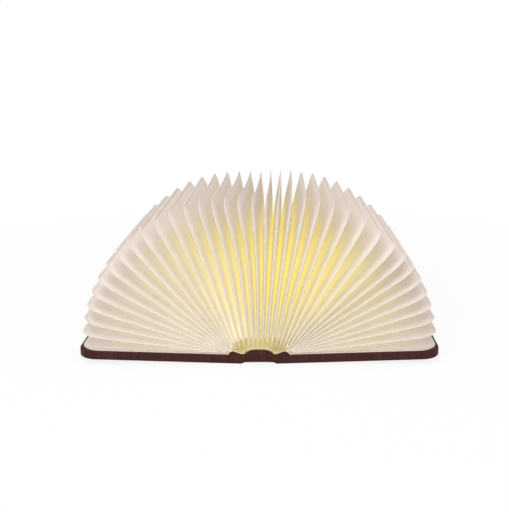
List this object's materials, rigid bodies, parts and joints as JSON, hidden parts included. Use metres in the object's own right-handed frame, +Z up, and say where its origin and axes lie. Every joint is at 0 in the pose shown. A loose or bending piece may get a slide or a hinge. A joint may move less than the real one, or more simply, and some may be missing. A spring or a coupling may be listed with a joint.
{
  "type": "folding book lamp",
  "caption": "Lamp shaped like a book: two hinged covers open a fan of pleated leaves that glow from a light bar in the spine.",
  "frame": {"origin": "on the resting surface, under the middle of the spine", "axes": "+X across the open covers from front cover to back cover, +Y along the spine from foot to head, +Z up"},
  "size_m": [0.2012, 0.122, 0.091],
  "materials": {
    "wrap": "matte",
    "board": "matte",
    "leaf": "matte",
    "pleat": "matte",
    "end_leaf": "matte",
    "tray": "matte",
    "cap": "satin",
    "diffuser": "satin",
    "screw": "satin",
    "led_board": "satin",
    "led": "satin",
    "cell": "satin",
    "charge_board": "satin",
    "socket": "satin",
    "sensor": "matte",
    "magnet": "satin",
    "hinge_cloth": "matte"
  },
  "bodies": {
    "spine": {"spine_tray": "tray", "diffuser": "diffuser", "foot_cap": "cap", "head_cap": "cap", "cap_screws": "screw", "led_board": "led_board", "leds": "led", "flat_cell": "cell", "charge_board": "charge_board", "charging_socket": "socket", "cover_sensor": "sensor", "front_hinge_cloth": "hinge_cloth", "back_hinge_cloth": "hinge_cloth", "front_pleats": "pleat", "back_pleats": "pleat"},
    "front_cover": {"front_board": "board", "front_wrap": "wrap", "front_rim": "wrap", "front_magnets": "magnet", "front_end_leaf": "end_leaf"},
    "back_cover": {"back_board": "board", "back_wrap": "wrap", "back_rim": "wrap", "back_magnets": "magnet", "back_end_leaf": "end_leaf"},
    "leaf_01": {"leaf_01": "leaf"},
    "leaf_02": {"leaf_02": "leaf"},
    "leaf_03": {"leaf_03": "leaf"},
    "leaf_04": {"leaf_04": "leaf"},
    "leaf_05": {"leaf_05": "leaf"},
    "leaf_06": {"leaf_06": "leaf"},
    "leaf_07": {"leaf_07": "leaf"},
    "leaf_08": {"leaf_08": "leaf"},
    "leaf_09": {"leaf_09": "leaf"},
    "leaf_10": {"leaf_10": "leaf"},
    "leaf_11": {"leaf_11": "leaf"},
    "leaf_12": {"leaf_12": "leaf"},
    "leaf_13": {"leaf_13": "leaf"},
    "leaf_14": {"leaf_14": "leaf"},
    "leaf_15": {"leaf_15": "leaf"},
    "leaf_16": {"leaf_16": "leaf"},
    "leaf_17": {"leaf_17": "leaf"},
    "leaf_18": {"leaf_18": "leaf"},
    "leaf_19": {"leaf_19": "leaf"},
    "leaf_20": {"leaf_20": "leaf"},
    "leaf_21": {"leaf_21": "leaf"},
    "leaf_22": {"leaf_22": "leaf"},
    "leaf_23": {"leaf_23": "leaf"},
    "leaf_24": {"leaf_24": "leaf"},
    "leaf_25": {"leaf_25": "leaf"},
    "leaf_26": {"leaf_26": "leaf"},
    "leaf_27": {"leaf_27": "leaf"},
    "leaf_28": {"leaf_28": "leaf"},
    "leaf_29": {"leaf_29": "leaf"},
    "leaf_30": {"leaf_30": "leaf"},
    "leaf_31": {"leaf_31": "leaf"},
    "leaf_32": {"leaf_32": "leaf"},
    "leaf_33": {"leaf_33": "leaf"},
    "leaf_34": {"leaf_34": "leaf"}
  },
  "joints": [
    {"name": "front_cover_hinge", "type": "hinge", "parent": "spine", "child": "front_cover", "pos_m": [-0.0104, 0, 0.00236], "axis": [0, 1, 0], "range_deg": [-95, 88.2], "deforming": ["front_hinge_cloth", "front_pleats"]},
    {"name": "back_cover_hinge", "type": "hinge", "parent": "spine", "child": "back_cover", "pos_m": [0.0104, 0, 0.00236], "axis": [0, -1, 0], "range_deg": [-95, 88.2], "deforming": ["back_hinge_cloth", "back_pleats"]},
    {"name": "leaf_01_turn", "type": "hinge", "parent": "spine", "child": "leaf_01", "pos_m": [-0.01059, 0, 0.00168], "axis": [0, 1, 0], "range_deg": [-89.41, 83.02]},
    {"name": "leaf_02_turn", "type": "hinge", "parent": "spine", "child": "leaf_02", "pos_m": [-0.01033, 0, 0.00103], "axis": [0, 1, 0], "range_deg": [-83.74, 77.75]},
    {"name": "leaf_03_turn", "type": "hinge", "parent": "spine", "child": "leaf_03", "pos_m": [-0.01007, 0, 0.00026], "axis": [0, 1, 0], "range_deg": [-77.91, 72.34]},
    {"name": "leaf_04_turn", "type": "hinge", "parent": "spine", "child": "leaf_04", "pos_m": [-0.0098, 0, -0.00066], "axis": [0, 1, 0], "range_deg": [-71.86, 66.73]},
    {"name": "leaf_05_turn", "type": "hinge", "parent": "spine", "child": "leaf_05", "pos_m": [-0.00953, 0, -0.00178], "axis": [0, 1, 0], "range_deg": [-65.58, 60.89]},
    {"name": "leaf_06_turn", "type": "hinge", "parent": "spine", "child": "leaf_06", "pos_m": [-0.00924, 0, -0.00319], "axis": [0, 1, 0], "range_deg": [-59.04, 54.82]},
    {"name": "leaf_07_turn", "type": "hinge", "parent": "spine", "child": "leaf_07", "pos_m": [-0.00894, 0, -0.00499], "axis": [0, 1, 0], "range_deg": [-52.31, 48.57]},
    {"name": "leaf_08_turn", "type": "hinge", "parent": "spine", "child": "leaf_08", "pos_m": [-0.00862, 0, -0.00734], "axis": [0, 1, 0], "range_deg": [-45.49, 42.24]},
    {"name": "leaf_09_turn", "type": "hinge", "parent": "spine", "child": "leaf_09", "pos_m": [-0.00827, 0, -0.01047], "axis": [0, 1, 0], "range_deg": [-38.76, 35.99]},
    {"name": "leaf_10_turn", "type": "hinge", "parent": "spine", "child": "leaf_10", "pos_m": [-0.00855, 0, -0.01437], "axis": [0, 1, 0], "range_deg": [-32.31, 30]},
    {"name": "leaf_11_turn", "type": "hinge", "parent": "spine", "child": "leaf_11", "pos_m": [-0.00928, 0, -0.01842], "axis": [0, 1, 0], "range_deg": [-26.31, 24.43]},
    {"name": "leaf_12_turn", "type": "hinge", "parent": "spine", "child": "leaf_12", "pos_m": [-0.0096, 0, -0.02258], "axis": [0, 1, 0], "range_deg": [-20.9, 19.41]},
    {"name": "leaf_13_turn", "type": "hinge", "parent": "spine", "child": "leaf_13", "pos_m": [-0.00928, 0, -0.02664], "axis": [0, 1, 0], "range_deg": [-16.13, 14.98]},
    {"name": "leaf_14_turn", "type": "hinge", "parent": "spine", "child": "leaf_14", "pos_m": [-0.008, 0, -0.03026], "axis": [0, 1, 0], "range_deg": [-11.96, 11.11]},
    {"name": "leaf_15_turn", "type": "hinge", "parent": "spine", "child": "leaf_15", "pos_m": [-0.00513, 0, -0.03309], "axis": [0, 1, 0], "range_deg": [-8.26, 7.68]},
    {"name": "leaf_16_turn", "type": "hinge", "parent": "spine", "child": "leaf_16", "pos_m": [0.00116, 0, -0.03488], "axis": [0, 1, 0], "range_deg": [-4.89, 4.55]},
    {"name": "leaf_17_turn", "type": "hinge", "parent": "spine", "child": "leaf_17", "pos_m": [0.02576, 0, -0.03559], "axis": [0, 1, 0], "range_deg": [-1.69, 1.57]},
    {"name": "leaf_18_turn", "type": "hinge", "parent": "spine", "child": "leaf_18", "pos_m": [-0.02576, 0, -0.03559], "axis": [0, -1, 0], "range_deg": [-1.69, 1.57]},
    {"name": "leaf_19_turn", "type": "hinge", "parent": "spine", "child": "leaf_19", "pos_m": [-0.00116, 0, -0.03488], "axis": [0, -1, 0], "range_deg": [-4.89, 4.55]},
    {"name": "leaf_20_turn", "type": "hinge", "parent": "spine", "child": "leaf_20", "pos_m": [0.00513, 0, -0.03309], "axis": [0, -1, 0], "range_deg": [-8.26, 7.68]},
    {"name": "leaf_21_turn", "type": "hinge", "parent": "spine", "child": "leaf_21", "pos_m": [0.008, 0, -0.03026], "axis": [0, -1, 0], "range_deg": [-11.96, 11.11]},
    {"name": "leaf_22_turn", "type": "hinge", "parent": "spine", "child": "leaf_22", "pos_m": [0.00928, 0, -0.02664], "axis": [0, -1, 0], "range_deg": [-16.13, 14.98]},
    {"name": "leaf_23_turn", "type": "hinge", "parent": "spine", "child": "leaf_23", "pos_m": [0.0096, 0, -0.02258], "axis": [0, -1, 0], "range_deg": [-20.9, 19.41]},
    {"name": "leaf_24_turn", "type": "hinge", "parent": "spine", "child": "leaf_24", "pos_m": [0.00928, 0, -0.01842], "axis": [0, -1, 0], "range_deg": [-26.31, 24.43]},
    {"name": "leaf_25_turn", "type": "hinge", "parent": "spine", "child": "leaf_25", "pos_m": [0.00855, 0, -0.01437], "axis": [0, -1, 0], "range_deg": [-32.31, 30]},
    {"name": "leaf_26_turn", "type": "hinge", "parent": "spine", "child": "leaf_26", "pos_m": [0.00827, 0, -0.01047], "axis": [0, -1, 0], "range_deg": [-38.76, 35.99]},
    {"name": "leaf_27_turn", "type": "hinge", "parent": "spine", "child": "leaf_27", "pos_m": [0.00862, 0, -0.00734], "axis": [0, -1, 0], "range_deg": [-45.49, 42.24]},
    {"name": "leaf_28_turn", "type": "hinge", "parent": "spine", "child": "leaf_28", "pos_m": [0.00894, 0, -0.00499], "axis": [0, -1, 0], "range_deg": [-52.31, 48.57]},
    {"name": "leaf_29_turn", "type": "hinge", "parent": "spine", "child": "leaf_29", "pos_m": [0.00924, 0, -0.00319], "axis": [0, -1, 0], "range_deg": [-59.04, 54.82]},
    {"name": "leaf_30_turn", "type": "hinge", "parent": "spine", "child": "leaf_30", "pos_m": [0.00953, 0, -0.00178], "axis": [0, -1, 0], "range_deg": [-65.58, 60.89]},
    {"name": "leaf_31_turn", "type": "hinge", "parent": "spine", "child": "leaf_31", "pos_m": [0.0098, 0, -0.00066], "axis": [0, -1, 0], "range_deg": [-71.86, 66.73]},
    {"name": "leaf_32_turn", "type": "hinge", "parent": "spine", "child": "leaf_32", "pos_m": [0.01007, 0, 0.00026], "axis": [0, -1, 0], "range_deg": [-77.91, 72.34]},
    {"name": "leaf_33_turn", "type": "hinge", "parent": "spine", "child": "leaf_33", "pos_m": [0.01033, 0, 0.00103], "axis": [0, -1, 0], "range_deg": [-83.74, 77.75]},
    {"name": "leaf_34_turn", "type": "hinge", "parent": "spine", "child": "leaf_34", "pos_m": [0.01059, 0, 0.00168], "axis": [0, -1, 0], "range_deg": [-89.41, 83.02]}
  ],
  "couplings": [
    {"joint": "leaf_01_turn", "follows": "front_cover_hinge", "ratio": 0.94008},
    {"joint": "leaf_02_turn", "follows": "front_cover_hinge", "ratio": 0.88038},
    {"joint": "leaf_03_turn", "follows": "front_cover_hinge", "ratio": 0.81901},
    {"joint": "leaf_04_turn", "follows": "front_cover_hinge", "ratio": 0.75542},
    {"joint": "leaf_05_turn", "follows": "front_cover_hinge", "ratio": 0.68922},
    {"joint": "leaf_06_turn", "follows": "front_cover_hinge", "ratio": 0.62041},
    {"joint": "leaf_07_turn", "follows": "front_cover_hinge", "ratio": 0.54954},
    {"joint": "leaf_08_turn", "follows": "front_cover_hinge", "ratio": 0.47779},
    {"joint": "leaf_09_turn", "follows": "front_cover_hinge", "ratio": 0.40694},
    {"joint": "leaf_10_turn", "follows": "front_cover_hinge", "ratio": 0.33901},
    {"joint": "leaf_11_turn", "follows": "front_cover_hinge", "ratio": 0.2759},
    {"joint": "leaf_12_turn", "follows": "front_cover_hinge", "ratio": 0.21898},
    {"joint": "leaf_13_turn", "follows": "front_cover_hinge", "ratio": 0.16875},
    {"joint": "leaf_14_turn", "follows": "front_cover_hinge", "ratio": 0.1248},
    {"joint": "leaf_15_turn", "follows": "front_cover_hinge", "ratio": 0.08591},
    {"joint": "leaf_16_turn", "follows": "front_cover_hinge", "ratio": 0.05044},
    {"joint": "leaf_17_turn", "follows": "front_cover_hinge", "ratio": 0.01668},
    {"joint": "leaf_18_turn", "follows": "back_cover_hinge", "ratio": 0.01668},
    {"joint": "leaf_19_turn", "follows": "back_cover_hinge", "ratio": 0.05044},
    {"joint": "leaf_20_turn", "follows": "back_cover_hinge", "ratio": 0.08591},
    {"joint": "leaf_21_turn", "follows": "back_cover_hinge", "ratio": 0.1248},
    {"joint": "leaf_22_turn", "follows": "back_cover_hinge", "ratio": 0.16875},
    {"joint": "leaf_23_turn", "follows": "back_cover_hinge", "ratio": 0.21898},
    {"joint": "leaf_24_turn", "follows": "back_cover_hinge", "ratio": 0.2759},
    {"joint": "leaf_25_turn", "follows": "back_cover_hinge", "ratio": 0.33901},
    {"joint": "leaf_26_turn", "follows": "back_cover_hinge", "ratio": 0.40694},
    {"joint": "leaf_27_turn", "follows": "back_cover_hinge", "ratio": 0.47779},
    {"joint": "leaf_28_turn", "follows": "back_cover_hinge", "ratio": 0.54954},
    {"joint": "leaf_29_turn", "follows": "back_cover_hinge", "ratio": 0.62041},
    {"joint": "leaf_30_turn", "follows": "back_cover_hinge", "ratio": 0.68922},
    {"joint": "leaf_31_turn", "follows": "back_cover_hinge", "ratio": 0.75542},
    {"joint": "leaf_32_turn", "follows": "back_cover_hinge", "ratio": 0.81901},
    {"joint": "leaf_33_turn", "follows": "back_cover_hinge", "ratio": 0.88038},
    {"joint": "leaf_34_turn", "follows": "back_cover_hinge", "ratio": 0.94008}
  ]
}
